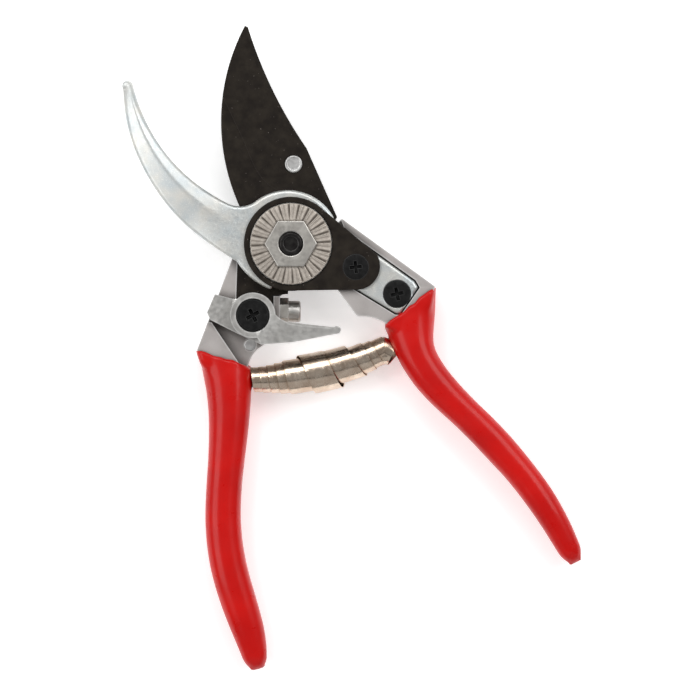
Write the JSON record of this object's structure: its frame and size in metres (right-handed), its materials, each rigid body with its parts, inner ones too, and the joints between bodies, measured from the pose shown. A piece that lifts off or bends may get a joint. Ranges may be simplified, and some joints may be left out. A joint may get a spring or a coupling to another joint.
{
  "type": "bypass pruner",
  "caption": "One-handed bypass pruner with a curved cutting blade, a hooked counter blade, dipped grips, a volute spring and a lock lever, shown open.",
  "frame": {"origin": "on the pivot axis, in the plane that the back of the pivot bolt's head and both grips rest on", "axes": "+Y towards the cutting blade's tip, +Z out of the front face, where the toothed wheel and the nut are"},
  "size_m": [0.1524, 0.2142, 0.0206],
  "materials": {
    "handle_alloy": "blasted",
    "grip_vinyl": "gloss dipped vinyl",
    "coated_steel": "fine textured black coating",
    "hook_steel": "satin ground",
    "bright_steel": "turned",
    "bolt_steel": "dark oiled",
    "nut_steel": "satin zinc",
    "wheel_steel": "sintered",
    "bumper_steel": "turned",
    "screw_steel": "black oxide",
    "spring_steel": "nickel plated",
    "lever_alloy": "die cast"
  },
  "bodies": {
    "blade_side": {"left_handle": "handle_alloy", "left_grip": "grip_vinyl", "cutting_blade": "coated_steel", "blade_stud": "bright_steel", "pivot_bolt": "bolt_steel", "pivot_nut": "nut_steel", "toothed_wheel": "wheel_steel", "bumper_stud": "bumper_steel", "bumper_nut": "nut_steel", "lever_screw": "screw_steel", "lever_washer": "bright_steel", "detent_pin": "bright_steel", "detent_spring": "bright_steel", "volute_spring": "spring_steel"},
    "hook_side": {"right_handle": "handle_alloy", "right_grip": "grip_vinyl", "hook_blade": "hook_steel", "cover_plate": "coated_steel", "cover_screw": "screw_steel", "tang_screw": "screw_steel"},
    "lever": {"lock_lever": "lever_alloy"}
  },
  "joints": [
    {"name": "pivot", "type": "hinge", "parent": "blade_side", "child": "hook_side", "pos_m": [0, 0, 0.0139], "axis": [0, 0, -1], "range_deg": [0, 36.5], "stiffness_Nm_per_rad": 1, "springref_deg": -17.19, "deforming": ["volute_spring"]},
    {"name": "lock", "type": "hinge", "parent": "blade_side", "child": "lever", "pos_m": [-0.0126, -0.0237, 0.015], "axis": [0, 0, -1], "range_deg": [0, 48]}
  ]
}
